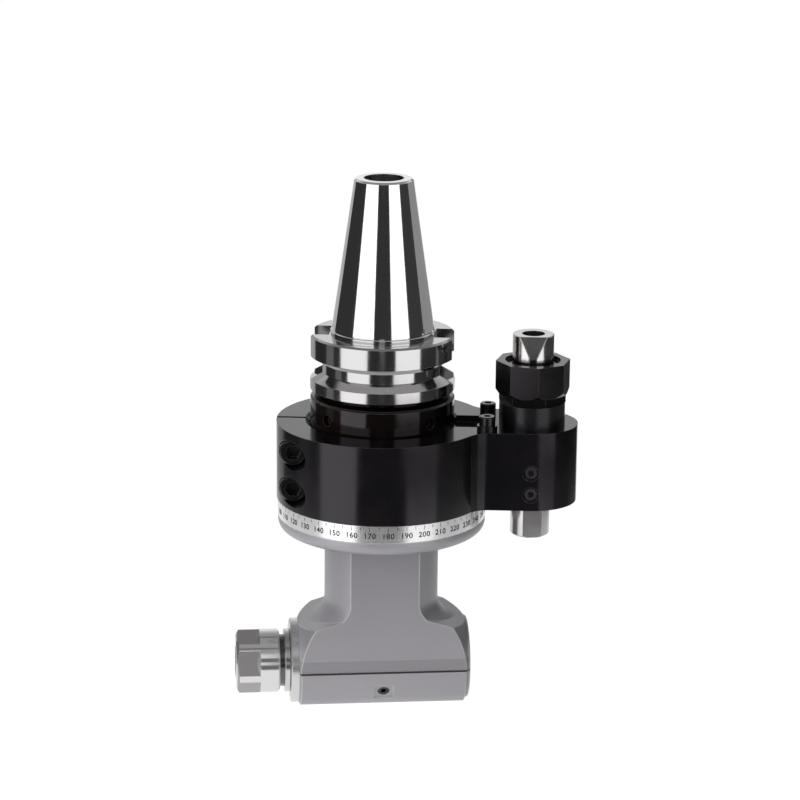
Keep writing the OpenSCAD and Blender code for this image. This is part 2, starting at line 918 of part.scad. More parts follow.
module end_cap() {
    color([0.62, 0.62, 0.64])
        on_spindle()
            difference() {
                union() {
                    rod(small_od_r - fit, tail_bearing_back + fit, end_cap_front - end_cap_t + 0.1);
                    rod(end_cap_r, block_half + fit, end_cap_front - 0.4);
                    translate([0, 0, end_cap_front - 0.4])
                        cylinder(r1 = end_cap_r, r2 = end_cap_r - 0.4, h = 0.4);
                }
                rod(small_od_r - end_cap_wall, tail_bearing_back - eps, end_cap_space);
                for (side = [-1, 1])
                    translate([side * (small_od_r - end_cap_pin_inset), 0, 0])
                        rod(end_cap_pin_r, end_cap_space + end_cap_face / 2, end_cap_front + eps);
            }
}

module bearing_clip() {
    color([0.3, 0.3, 0.3])
        on_spindle()
            difference() {
                ring_solid(small_od_r - clip_wall, small_od_r + clip_deep - fit,
                    nose_bearing_back + fit, nose_bearing_back + clip_t);
                translate([0, -3, nose_bearing_back - 1])
                    cube([small_od_r + 2, 6, clip_t + 2]);
            }
}

module nose_bearing_outers() {
    color("lightgray")
        on_spindle()
            for (i = [0, 1])
                outer_ring(small_r, small_od_r, nose_bearing_front + i * small_w,
                    nose_bearing_front + (i + 1) * small_w);
}

module nose_bearing_inners() {
    color("lightgray")
        on_spindle()
            for (i = [0, 1])
                inner_ring(small_r, small_od_r, nose_bearing_front + i * small_w,
                    nose_bearing_front + (i + 1) * small_w);
}

module nose_bearing_balls() {
    color("white")
        on_spindle()
            for (i = [0, 1])
                ball_row(small_r, small_od_r, nose_bearing_front + i * small_w,
                    nose_bearing_front + (i + 1) * small_w);
}

module tail_bearing_outer() {
    color("lightgray")
        on_spindle()
            outer_ring(tail_bore / 2, small_od_r, tail_bearing_front, tail_bearing_back);
}

module tail_bearing_inner() {
    color("lightgray")
        on_spindle()
            inner_ring(tail_bore / 2, small_od_r, tail_bearing_front, tail_bearing_back);
}

module tail_bearing_balls() {
    color("white")
        on_spindle()
            ball_row(tail_bore / 2, small_od_r, tail_bearing_front, tail_bearing_back);
}

// Output spindle group

spindle_outline = [
    [0, spindle_front],
    [thread_r - edge, spindle_front],
    [thread_r, spindle_front + edge],
    [thread_r, nut_back + swivel_gap],
    [nose_land_r, nut_back + swivel_gap],
    [nose_land_r, nose_bearing_front],
    [small_r, nose_bearing_front],
    [small_r, nose_bearing_back],
    [small_r - 0.4, nose_bearing_back],
    [small_r - 0.4, spindle_lock_back],
    [waist_r, spindle_lock_back],
    [waist_r, waist_end],
    [gear_bore_small_r, waist_end],
    [gear_bore_small_r, tail_bearing_back],
    [tail_thread_r, tail_bearing_back],
    [tail_thread_r, tail_end],
    [0, tail_end]
];

module output_spindle() {
    seat_deep = collet_back - spindle_front;
    mouth_r = collet_r - (spindle_front - collet_wide) * tan(cone_angle) + seat_fit;
    color([0.55, 0.55, 0.57])
        on_spindle()
            difference() {
                rotate_extrude()
                    polygon(spindle_outline);
                translate([0, 0, spindle_front])
                    cylinder(r1 = mouth_r, r2 = collet_back_r + seat_fit, h = seat_deep);
                translate([0, 0, spindle_front - eps])
                    cylinder(r = mouth_r, h = 2 * eps);
                rod(collet_back_r + seat_fit, collet_back - eps, collet_back + 4);
                translate([0, 0, driven_pin_x])
                    rotate([0, 90, 0])
                        cylinder(r = gear_pin_r + fit, h = 3 * gear_hub_r, center = true);
            }
}

module driven_gear() {
    color("dimgray")
        on_spindle()
            difference() {
                bevel_gear(gear_step / 2, tail_bearing_front - fit);
                translate([0, 0, driven_pin_x])
                    rotate([0, 90, 0])
                        cylinder(r = gear_pin_r + fit, h = 3 * gear_hub_r, center = true);
            }
}

module driven_gear_pin() {
    color("gray")
        on_spindle()
            translate([0, 0, driven_pin_x])
                rotate([0, 90, 0])
                    cylinder(r = gear_pin_r, h = 2 * gear_hub_r - 0.4, center = true);
}

module spindle_lock_nut() {
    color("dimgray")
        on_spindle()
            difference() {
                ring_solid(small_r - 0.4 + fit, spindle_lock_r, nose_bearing_back + fit, spindle_lock_back);
                for (i = [0:3])
                    rotate(45 + i * 90)
                        translate([spindle_lock_r - 1.2, -1.5, nose_bearing_back - 1])
                            cube([3, 3, spindle_lock_t + 2]);
            }
}

module tail_lock_nut() {
    color("dimgray")
        on_spindle()
            difference() {
                translate([0, 0, tail_bearing_back + fit])
                    cylinder(r = tail_lock_r, h = tail_lock_t - fit, $fn = 6);
                rod(tail_thread_r + fit, tail_bearing_back, tail_end + eps);
            }
}

module nose_ring() {
    color([0.6, 0.6, 0.62])
        on_spindle()
            difference() {
                union() {
                    rod(nose_ring_d / 2, nose_ring_front + 0.4, nose_ring_back);
                    translate([0, 0, nose_ring_front])
                        cylinder(r1 = nose_ring_d / 2 - 0.4, r2 = nose_ring_d / 2, h = 0.4);
                }
                rod(nose_land_r + fit, nose_ring_front - eps, nose_ring_back + eps);
            }
}

collet_outline = [
    [0, collet_face],
    [collet_face_r, collet_face],
    [collet_lip_r, collet_face + collet_lip],
    [collet_r - collet_groove_in, collet_face + collet_lip],
    [collet_r - collet_groove_in, collet_wide],
    [collet_r, collet_wide],
    [collet_back_r, collet_back],
    [0, collet_back]
];

module collet() {
    slot_len = (collet_back - collet_face) * collet_slot_part;
    color([0.5, 0.5, 0.52])
        on_spindle()
            difference() {
                rotate_extrude()
                    polygon(collet_outline);
                rod(tool_r, collet_face - eps, collet_back + eps);
                for (i = [0:collet_slots - 1])
                    rotate(i * 360 / collet_slots) {
                        translate([0, -collet_slot_w / 2, collet_face - eps])
                            cube([collet_r + 1, collet_slot_w, slot_len]);
                        rotate(180 / collet_slots)
                            translate([0, -collet_slot_w / 2, collet_back - slot_len + eps])
                                cube([collet_r + 1, collet_slot_w, slot_len]);
                    }
            }
}

// The nut's outer form: a turned body, bevelled ends, and six flats that run out behind its middle
module nut_body() {
    intersection() {
        rotate_extrude()
            polygon([
                [0, nut_front],
                [nut_r - 2.4, nut_front],
                [nut_r, nut_front + 1.4],
                [nut_r, nut_back - edge],
                [nut_r - edge, nut_back],
                [0, nut_back]
            ]);
        union() {
            translate([0, 0, nut_front - 1])
                rotate(nut_corner_turn)
                    cylinder(r = nut_af / 2 / cos(30), h = nut_len, $fn = 6);
            translate([0, 0, nut_front + nut_flat_len - nut_runout])
                cylinder(r1 = nut_af / 2 - fit, r2 = nut_r + fit, h = nut_runout);
            rod(nut_r + 1, nut_front + nut_flat_len - eps, nut_back + 1);
        }
    }
}

module collet_nut() {
    ring_space = nut_ring_front + nut_ring_t + fit;
    color([0.78, 0.78, 0.8])
        on_spindle()
            difference() {
                nut_body();
                rod(thread_r + run_fit, ring_space, nut_back + eps);
                rod(nut_ring_r + run_fit, collet_face + collet_lip, ring_space + eps);
                translate([0, 0, nut_front - eps])
                    cylinder(r1 = nut_mouth_r, r2 = collet_lip_r + 0.35,
                        h = collet_face + collet_lip - nut_front + 2 * eps);
            }
}

module nut_ring() {
    color([0.4, 0.4, 0.42])
        on_spindle()
            ring_solid(collet_r - collet_groove_in + 0.1, nut_ring_r, nut_ring_front, nut_ring_front + nut_ring_t);
}

// Swivel ring group

// The ring and its arm seen from above, with a hollow blend on each side of the arm
module ring_plan() {
    touch = (ring_r + edge) / (ring_r + arm_blend_r);
    difference() {
        union() {
            circle(r = ring_r);
            translate([pin_reach, 0])
                circle(r = arm_half);
            translate([0, -arm_half])
                square([pin_reach, arm_w]);
            polygon([
                [blend_x * touch, -blend_y * touch],
                [blend_x, -arm_half - edge],
                [blend_x, arm_half + edge],
                [blend_x * touch, blend_y * touch]
            ]);
        }
        for (side = [-1, 1])
            translate([blend_x, side * blend_y])
                circle(r = arm_blend_r + fit);
    }
}

module swivel_ring() {
    color([0.09, 0.09, 0.1])
        on_arm()
            difference() {
                translate([0, 0, ring_bottom])
                    linear_extrude(height = ring_h)
                        ring_plan();
                rod(ring_bore_r, ring_bottom - eps, ring_top + eps);
                translate([0, 0, ring_top - ring_bevel])
                    cylinder(r1 = ring_bore_r, r2 = ring_bore_r + ring_bevel + eps, h = ring_bevel + eps);
                translate([-ring_r - 1, -slit_w / 2, ring_bottom - eps])
                    cube([ring_r + 1, slit_w, ring_h + 2 * eps]);
                translate([pocket_x0, pocket_y0, ring_top - pocket_depth])
                    cube([pocket_x1 - pocket_x0, pocket_y1 - pocket_y0, pocket_depth + eps]);
                translate([pin_reach, 0, 0])
                    rod(sleeve_r, ring_bottom - eps, ring_top + eps);
                for (side = [-1, 1]) {
                    translate([-pinch_reach, pinch_seat_y, pinch_middle + side * pinch_pitch / 2])
                        rotate([90, 0, 0])
                            cylinder(r = counterbore_r, h = ring_r);
                    translate([-pinch_reach, 0, pinch_middle + side * pinch_pitch / 2])
                        rotate([90, 0, 0])
                            rod(m8_r + 0.3, -eps, -pinch_seat_y + eps);
                    translate([-pinch_reach, 0, pinch_middle + side * pinch_pitch / 2])
                        rotate([90, 0, 0])
                            rod(m8_r, -pinch_end_y - 1, eps);
                    translate([cap_screw_x, side * cap_screw_y, 0])
                        rod(m4_r, ring_top - cap_screw_grip, ring_top + eps);
                }
                for (i = [0, 1])
                    translate([pin_reach, 0, set_screw_high - i * set_screw_pitch])
                        rotate([90, 0, 0]) {
                            rod(m6_r, sleeve_r - 1, arm_half + eps);
                            translate([0, 0, arm_half - set_screw_flare])
                                cylinder(r1 = m6_r, r2 = m6_r + set_screw_flare + eps, h = set_screw_flare + eps);
                        }
            }
}

module pinch_screws() {
    color([0.07, 0.07, 0.07])
        on_arm()
            for (side = [-1, 1])
                translate([-pinch_reach, pinch_seat_y, pinch_middle + side * pinch_pitch / 2])
                    rotate([90, 0, 0])
                        cap_screw(m8_r, m8_head_r, m8_head_h, m8_socket_af, pinch_end_y - pinch_seat_y);
}

module arm_cap_screws() {
    color([0.07, 0.07, 0.07])
        on_arm() {
            translate([cap_screw_x, cap_screw_y, ring_top + fit])
                cap_screw(m4_r, m4_head_r, m4_head_h, m4_socket_af, cap_screw_grip - 1);
            translate([cap_screw_x, -cap_screw_y, ring_top + washer_h + 2 * fit])
                cap_screw(m4_r, m4_head_r, m4_head_h, m4_socket_af, cap_screw_grip - 1);
        }
}

module arm_washer() {
    color([0.1, 0.1, 0.1])
        on_arm()
            translate([cap_screw_x, -cap_screw_y, 0])
                ring_solid(m4_r + 0.1, washer_r, ring_top + fit, ring_top + washer_h);
}

module arm_set_screws() {
    outer = arm_half - set_screw_sink;
    inner = outer - set_screw_len;
    color([0.07, 0.07, 0.07])
        on_pin()
            for (i = [0, 1])
                translate([0, 0, set_screw_high - i * set_screw_pitch])
                    rotate([90, 0, 0])
                        difference() {
                            union() {
                                rod(m6_r - fit, inner, outer - 0.4);
                                translate([0, 0, outer - 0.4])
                                    cylinder(r1 = m6_r - fit, r2 = m6_r - 0.4, h = 0.4);
                                rod(dog_r, keyway_floor + swivel_gap, inner + eps);
                            }
                            key_socket(m6_socket_af, outer - 3, outer + eps);
                        }
}

module guide_sleeve() {
    color([0.08, 0.08, 0.09])
        on_pin()
            difference() {
                union() {
                    rod(sleeve_r - fit, sleeve_bottom, ring_top + eps);
                    rod(sleeve_collar_r, ring_top + fit, jam_bottom - fit);
                    rod(sleeve_neck_r, jam_bottom - eps, sleeve_top);
                }
                rod(guide_r, sleeve_bottom - eps, ring_top);
                rod(spring_space_r, ring_top, sleeve_top + eps);
                for (i = [0, 1])
                    translate([0, 0, set_screw_high - i * set_screw_pitch])
                        rotate([90, 0, 0])
                            rod(m6_r, pin_r - 1, sleeve_r + 1);
            }
}

// The spring is one tube swept along a helix, ring by ring
module pin_spring() {
    count = spring_turns * spring_steps;
    low = spring_bottom + spring_wire_r;
    rise = spring_top - spring_bottom - 2 * spring_wire_r;
    points = [
        for (i = [0:count])
            for (k = [0:spring_sides - 1])
                let (
                    turn = i * 360 / spring_steps,
                    side = k * 360 / spring_sides,
                    radius = spring_mean_r + spring_wire_r * cos(side)
                )
                [radius * cos(turn), radius * sin(turn), low + rise * i / count + spring_wire_r * sin(side)]
    ];
    walls = [
        for (i = [0:count - 1])
            for (k = [0:spring_sides - 1])
                let (
                    next = (k + 1) % spring_sides,
                    here = i * spring_sides,
                    there = (i + 1) * spring_sides
                )
                [here + k, here + next, there + next, there + k]
    ];
    first = [for (k = [0:spring_sides - 1]) spring_sides - 1 - k];
    last = [for (k = [0:spring_sides - 1]) count * spring_sides + k];
    color([0.35, 0.35, 0.37])
        on_pin()
            polyhedron(points = points, faces = concat([first], walls, [last]));
}

module pin_jam_nut() {
    color([0.09, 0.09, 0.09])
        on_pin()
            difference() {
                translate([0, 0, jam_bottom])
                    rotate(jam_turn)
                        cylinder(r = jam_af / 2 / cos(30), h = jam_h, $fn = 6);
                rod(sleeve_neck_r + fit, jam_bottom - eps, jam_bottom + jam_h + eps);
            }
}

module pin_nut() {
    corner_r = pin_nut_af / 2 / cos(22.5);
    color([0.06, 0.06, 0.07])
        on_pin()
            difference() {
                intersection() {
                    octagon(pin_nut_af, nut_bottom, nut_top, pin_nut_turn);
                    union() {
                        rod(corner_r + 1, nut_bottom + 1.9, nut_top + 1);
                        translate([0, 0, nut_bottom])
                            cylinder(r1 = corner_r - 1.2, r2 = corner_r + eps, h = 1.9 + eps);
                    }
                }
                rod(nut_recess_r, nut_top - nut_recess, nut_top + eps);
                rod(pin_head_r + run_fit, nut_bottom - eps, nut_top + eps);
                rod(sleeve_neck_r + fit, nut_bottom - eps, nut_top - nut_lip);
            }
}

module locating_pin() {
    color("silver")
        on_pin()
            difference() {
                union() {
                    rod(pin_r, pin_bottom + edge, pin_top - 1);
                    rod(pin_head_r, nut_top + swivel_gap, pin_top - pin_bevel);
                    translate([0, 0, pin_top - pin_bevel])
                        cylinder(r1 = pin_head_r, r2 = pin_head_r - pin_bevel, h = pin_bevel);
                    translate([0, 0, pin_bottom])
                        cylinder(r1 = pin_r - edge, r2 = pin_r, h = edge);
                }
                rod(pin_bore_d / 2, pin_top - pin_bore_depth, pin_top + eps);
                // flared lead-in and the keyway below it
                translate([0, -keyway_floor, 0])
                    rotate([90, 0, 0])
                        linear_extrude(height = pin_r)
                            polygon([
                                [-funnel_w / 2, pin_top + 1],
                                [-funnel_w / 2, pin_top],
                                [-keyway_w / 2, pin_top - funnel_h],
                                [-keyway_w / 2, keyway_bottom],
                                [keyway_w / 2, keyway_bottom],
                                [keyway_w / 2, pin_top - funnel_h],
                                [funnel_w / 2, pin_top],
                                [funnel_w / 2, pin_top + 1]
                            ]);
                ring_solid(pin_r - pin_clip_deep, pin_r + 1, clip_bottom - fit, clip_top + fit);
                rotate(pin_flat_turn)
                    for (side = [-1, 1])
                        translate([-pin_r, side * (pin_flat_af / 2 + pin_r) - pin_r, pin_bottom - 1])
                            cube([pin_d, pin_d, pin_flat_len + 1]);
            }
}

module pin_clip() {
    color([0.3, 0.3, 0.3])
        on_pin()
            difference() {
                ring_solid(pin_r - pin_clip_deep + fit, pin_r + clip_reach, clip_bottom, clip_top);
                translate([-4, 0, clip_bottom - 1])
                    cube([8, pin_r + 4, pin_clip_t + 2]);
            }
}

taper_shank();
drive_gear();
drive_gear_pin();
shaft_lock_nut();
shaft_spacer();
upper_bearing_inner();
upper_bearing_balls();
upper_bearing_outer();
lower_bearing_inner();
lower_bearing_balls();
lower_bearing_outer();
pilot_bearing_inner();
pilot_bearing_balls();
pilot_bearing_outer();
bearing_collar();
shaft_seal();
cartridge();
cartridge_screws();
scale_ring();
housing();
port_plug();
nose_cover();
nose_seal();
end_cap();
bearing_clip();
nose_bearing_outers();
nose_bearing_inners();
nose_bearing_balls();
tail_bearing_outer();
tail_bearing_inner();
tail_bearing_balls();
output_spindle();
driven_gear();
driven_gear_pin();
spindle_lock_nut();
tail_lock_nut();
nose_ring();
collet();
collet_nut();
nut_ring();
swivel_ring();
pinch_screws();
arm_cap_screws();
arm_washer();
arm_set_screws();
guide_sleeve();
pin_spring();
pin_jam_nut();
pin_nut();
locating_pin();
pin_clip();
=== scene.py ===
import bpy
import bmesh
import math
from mathutils import Euler, Matrix, Vector


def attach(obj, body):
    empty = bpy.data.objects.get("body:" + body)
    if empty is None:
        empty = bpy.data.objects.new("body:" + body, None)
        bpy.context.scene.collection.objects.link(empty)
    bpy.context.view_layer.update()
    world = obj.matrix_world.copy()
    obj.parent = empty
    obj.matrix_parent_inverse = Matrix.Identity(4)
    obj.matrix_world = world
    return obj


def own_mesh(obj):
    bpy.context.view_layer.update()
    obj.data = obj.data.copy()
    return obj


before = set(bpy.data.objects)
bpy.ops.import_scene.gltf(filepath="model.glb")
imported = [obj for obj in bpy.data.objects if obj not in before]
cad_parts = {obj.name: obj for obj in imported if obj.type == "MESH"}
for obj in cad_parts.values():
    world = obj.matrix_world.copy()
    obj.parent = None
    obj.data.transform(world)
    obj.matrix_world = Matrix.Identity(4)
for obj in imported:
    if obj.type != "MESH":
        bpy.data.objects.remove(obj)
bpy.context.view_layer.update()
print("loaded", len(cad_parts), "nodes")

# lengths are in metres and angles in degrees
pin = {"reach": 0.065, "azimuth": -7.7}          # the locating pin's axis, from the shank's
spindle = {"height": -0.1515}                    # the output spindle's axis, which runs along x

pinAzimuth = math.radians(pin["azimuth"])
pinCentre = (pin["reach"] * math.cos(pinAzimuth), pin["reach"] * math.sin(pinAzimuth))
spindleCentre = (0, spindle["height"])

finish = {
    "turnStretch": 0.0006,   # metres of grain in one radian round the axis
    "noiseRough": 0.55,
    "bevelSamples": 4,
    "cloudLow": 0.3,         # the part of a noise's range that is used
    "cloudHigh": 0.7,
    "stainHigh": 0.75,
    "smoother": 0.85,        # how far a roughness drifts to either side
    "rougher": 1.15,
}


def makeNodes(name):
    material = bpy.data.materials.new(name)
    material.use_nodes = True
    tree = material.node_tree
    return material, tree, tree.nodes["Principled BSDF"]


def link(tree, a, b):
    tree.links.new(a, b)


def mathNode(tree, operation, a, b=None):
    node = tree.nodes.new("ShaderNodeMath")
    node.operation = operation
    for socket, value in ((node.inputs[0], a), (node.inputs[1], b)):
        if value is None:
            continue
        if isinstance(value, (int, float)):
            socket.default_value = value
        else:
            link(tree, value, socket)
    return node.outputs[0]


def times(tree, a, b):
    return mathNode(tree, "MULTIPLY", a, b)


def placeOf(tree):
    coords = tree.nodes.new("ShaderNodeTexCoord")
    split = tree.nodes.new("ShaderNodeSeparateXYZ")
    link(tree, coords.outputs["Object"], split.inputs[0])
    return coords.outputs["Object"], split.outputs[0], split.outputs[1], split.outputs[2]


# Coordinates of a turned piece: round the axis, out from it and along it
def turnedPlace(tree, axis, centre):
    _, x, y, z = placeOf(tree)
    if axis == "z":
        a = mathNode(tree, "SUBTRACT", x, centre[0])
        b = mathNode(tree, "SUBTRACT", y, centre[1])
        along = z
    else:
        a = y
        b = mathNode(tree, "SUBTRACT", z, centre[1])
        along = x
    angle = mathNode(tree, "ARCTAN2", b, a)
    out = mathNode(tree, "SQRT", mathNode(tree, "ADD", times(tree, a, a), times(tree, b, b)))
    join = tree.nodes.new("ShaderNodeCombineXYZ")
    link(tree, times(tree, angle, finish["turnStretch"]), join.inputs[0])
    link(tree, out, join.inputs[1])
    link(tree, along, join.inputs[2])
    return join.outputs[0], angle, out, along


def noise(tree, vector, scale, detail):
    node = tree.nodes.new("ShaderNodeTexNoise")
    node.inputs["Scale"].default_value = scale
    node.inputs["Detail"].default_value = detail
    node.inputs["Roughness"].default_value = finish["noiseRough"]
    link(tree, vector, node.inputs["Vector"])
    return node.outputs["Fac"]


def spread(tree, value, low, high, outLow, outHigh):
    node = tree.nodes.new("ShaderNodeMapRange")
    link(tree, value, node.inputs[0])
    for i, v in enumerate((low, high, outLow, outHigh)):
        node.inputs[i + 1].default_value = v
    return node.outputs[0]


# 0 up to an edge and 1 from a little past it
def above(tree, value, edge, width):
    return spread(tree, value, edge, edge + width, 0, 1)


# 1 up to an edge and 0 from a little past it
def below(tree, value, edge, width):
    return spread(tree, value, edge, edge + width, 1, 0)


# A value that drifts between two others with a noise
def drift(tree, cloud, low, high):
    return spread(tree, cloud, finish["cloudLow"], finish["cloudHigh"], low, high)


# A roughness that drifts to either side with a noise
def roughDrift(tree, cloud, rough):
    return drift(tree, cloud, rough * finish["smoother"], rough * finish["rougher"])


def blendColour(tree, factor, one, two):
    node = tree.nodes.new("ShaderNodeMix")
    node.data_type = "RGBA"
    link(tree, factor, node.inputs[0])
    for socket, value in ((node.inputs[6], one), (node.inputs[7], two)):
        if isinstance(value, tuple):
            socket.default_value = (*value, 1)
        else:
            link(tree, value, socket)
    return node.outputs[2]


def darker(colour, factor):
    return tuple(c * factor for c in colour)


# A colour that goes over into another where a noise is high
def stained(tree, cloud, colour, stain):
    amount = spread(tree, cloud, finish["cloudLow"], finish["stainHigh"], 0, 1)
    return blendColour(tree, amount, colour, stain)


def bump(tree, height, distance, strength, normal=None):
    node = tree.nodes.new("ShaderNodeBump")
    node.inputs["Strength"].default_value = strength
    node.inputs["Distance"].default_value = distance
    link(tree, height, node.inputs["Height"])
    if normal is not None:
        link(tree, normal, node.inputs["Normal"])
    return node.outputs["Normal"]


def softEdge(tree, radius):
    node = tree.nodes.new("ShaderNodeBevel")
    node.samples = finish["bevelSamples"]
    node.inputs["Radius"].default_value = radius
    return node.outputs["Normal"]


# 1 on a sharp edge and 0 on the faces beside it
def edgeMask(tree, bevelled, start, full):
    plain = tree.nodes.new("ShaderNodeNewGeometry")
    both = tree.nodes.new("ShaderNodeVectorMath")
    both.operation = "DOT_PRODUCT"
    link(tree, bevelled, both.inputs[0])
    link(tree, plain.outputs["Normal"], both.inputs[1])
    return spread(tree, both.outputs["Value"], start, full, 0, 1)


# A screw thread's ridges, from 0 to 0.5
def threadWave(tree, angle, along, pitch):
    climb = mathNode(tree, "DIVIDE", along, pitch)
    swing = mathNode(tree, "DIVIDE", angle, 2 * math.pi)
    return mathNode(tree, "PINGPONG", mathNode(tree, "SUBTRACT", climb, swing), 0.5)


turned = {
    "cloudScale": 60,
    "ringScale": 9000,
    "ringDepth": 0.0000012,
}


# Turned or ground steel: fine rings round the axis, with a little stain
def turnedSteel(name, colour, rough, axis="z", centre=(0, 0), edge=0.00022, stain=0.08, metallic=1.0):
    material, tree, shader = makeNodes(name)
    vector, _, _, _ = turnedPlace(tree, axis, centre)
    where, _, _, _ = placeOf(tree)
    rings = noise(tree, vector, turned["ringScale"], 2.0)
    cloud = noise(tree, where, turned["cloudScale"], 4.0)
    shader.inputs["Metallic"].default_value = metallic
    link(tree, stained(tree, cloud, colour, darker(colour, 1 - stain)), shader.inputs["Base Color"])
    link(tree, roughDrift(tree, cloud, rough), shader.inputs["Roughness"])
    link(tree, bump(tree, rings, turned["ringDepth"], 1.0, softEdge(tree, edge)), shader.inputs["Normal"])
    return material


# a blend is the width over which one finish goes over into the next
shank = {
    "polishFrom": -0.0016,   # the height above which the taper is polished
    "polishBlend": 0.0004,
    "polished": (0.05, 0.09),
    "taperColour": (0.8, 0.79, 0.795),
    "stainColour": (0.74, 0.73, 0.735),
    "ground": (0.1, 0.15),
    "flangeColour": (0.5, 0.492, 0.495),
    "boreRadius": 0.0089,
    "boreBlend": 0.0003,
    "boreRough": 0.2,
    "boreColour": (0.6, 0.58, 0.57),
    "threadRadius": 0.0075,
    "threadBlend": 0.0001,
    "threadPitch": 0.002,
    "threadDepth": 0.0004,
    "cloudScale": 45,
    "ringScale": 12000,
    "ringDepth": 0.0000006,
    "coarseScale": 3500,
    "coarseDepth": 0.0000008,
    "edgeRadius": 0.00015,
}


# The taper is polished, the flange below it is ground, and the bore is threaded
def shankSteel():
    material, tree, shader = makeNodes("shankSteel")
    vector, angle, out, along = turnedPlace(tree, "z", (0, 0))
    where, _, _, _ = placeOf(tree)
    rings = noise(tree, vector, shank["ringScale"], 2.0)
    coarse = noise(tree, vector, shank["coarseScale"], 2.0)
    cloud = noise(tree, where, shank["cloudScale"], 4.0)
    onTaper = above(tree, along, shank["polishFrom"], shank["polishBlend"])
    outside = above(tree, out, shank["boreRadius"], shank["boreBlend"])
    shader.inputs["Metallic"].default_value = 1.0
    tone = stained(tree, cloud, shank["taperColour"], shank["stainColour"])
    tone = blendColour(tree, onTaper, shank["flangeColour"], tone)
    tone = blendColour(tree, outside, shank["boreColour"], tone)
    link(tree, tone, shader.inputs["Base Color"])
    mix = tree.nodes.new("ShaderNodeMix")
    link(tree, onTaper, mix.inputs[0])
    link(tree, drift(tree, cloud, *shank["ground"]), mix.inputs[2])
    link(tree, drift(tree, cloud, *shank["polished"]), mix.inputs[3])
    inBore = spread(tree, outside, 0, 1, shank["boreRough"], 0)
    link(tree, mathNode(tree, "MAXIMUM", mix.outputs[0], inBore), shader.inputs["Roughness"])
    one = bump(tree, rings, shank["ringDepth"], 1.0, softEdge(tree, shank["edgeRadius"]))
    two = bump(tree, coarse, shank["coarseDepth"], 1.0, one)
    threaded = below(tree, out, shank["threadRadius"], shank["threadBlend"])
    thread = times(tree, threadWave(tree, angle, along, shank["threadPitch"]), threaded)
    link(tree, bump(tree, thread, shank["threadDepth"], 1.0, two), shader.inputs["Normal"])
    return material


oxide = {
    "stain": (0.014, 0.011, 0.0115),
    "stainFrom": 0.45,
    "stainFull": 0.75,
    # the edge colour: partly wear, partly a painted highlight
    "wearAndHighlight": (0.16, 0.155, 0.16),
    "edgeFrom": 0.985,       # how far an edge turns before it gets the paler wear and painted highlight, as a cosine
    "edgeFull": 0.86,
    "rubFrom": 0.35,
    "rubFull": 0.6,
    "rubLeast": 0.25,
    "tint": (1, 0.93, 1, 1),
    "cloudScale": 70,
    "grainScale": 2600,
    "grainDepth": 0.000004,
    "ringScale": 6000,
    "ringDepth": 0.000002,
}


# Black oxide over steel: nearly black and oily, with a fine grain and paler edges, partly wear and partly a
# painted highlight
def blackOxide(name, colour, rough, stain=oxide["stain"], wearAndHighlight=oxide["wearAndHighlight"], edge=0.0003, centre=(0, 0),
               shine=0.42):
    material, tree, shader = makeNodes(name)
    where, _, _, _ = placeOf(tree)
    vector, _, _, _ = turnedPlace(tree, "z", centre)
    cloud = noise(tree, where, oxide["cloudScale"], 5.0)
    grain = noise(tree, where, oxide["grainScale"], 2.0)
    rings = noise(tree, vector, oxide["ringScale"], 2.0)
    soft = softEdge(tree, edge)
    tone = blendColour(tree, spread(tree, cloud, oxide["stainFrom"], oxide["stainFull"], 0, 1), colour, stain)
    # the paler edges are partly wear and partly a painted highlight
    onEdge = edgeMask(tree, soft, oxide["edgeFrom"], oxide["edgeFull"])
    rub = spread(tree, cloud, oxide["rubFrom"], oxide["rubFull"], oxide["rubLeast"], 1)
    wearAndHighlightMask = times(tree, onEdge, rub)
    link(tree, blendColour(tree, wearAndHighlightMask, tone, wearAndHighlight), shader.inputs["Base Color"])
    shader.inputs["Specular IOR Level"].default_value = shine
    shader.inputs["Specular Tint"].default_value = oxide["tint"]
    link(tree, roughDrift(tree, cloud, rough), shader.inputs["Roughness"])
    one = bump(tree, grain, oxide["grainDepth"], 0.5, soft)
    link(tree, bump(tree, rings, oxide["ringDepth"], 0.5, one), shader.inputs["Normal"])
    return material


housing = {
    "colour": (0.6, 0.585, 0.62),
    "stainShade": 0.94,
    "metallic": 0.3,
    "rough": (0.368, 0.44),
    "seamHalf": 0.00022,     # the joint line at the spindle's height
    "seamBlend": 0.00015,
    "seamColour": (0.08, 0.075, 0.08),
    "band": 0.0059,          # the darker band above it
    "bandBlend": 0.0001,
    "bandShade": 0.28,
    "bandColour": (0.1, 0.095, 0.11),
    "neckTop": -0.091,       # the neck gets darker towards the flange above it, as painted shade under the dial
    "neckBlend": 0.0006,
    "neckFoot": -0.14,
    "neckShade": 0.5,
    "neckShadeColour": (0.26, 0.25, 0.275),
    "edgeRadius": 0.0008,
    "edgeFrom": 0.997,
    "edgeFull": 0.95,
    # a painted highlight along the housing's edges
    "edgeHighlightAmount": 0.95,
    "edgeHighlightColour": (0.97, 0.96, 0.98),
    "cloudScale": 30,
    "toothScale": 4200,
    "toothDepth": 0.000012,
}
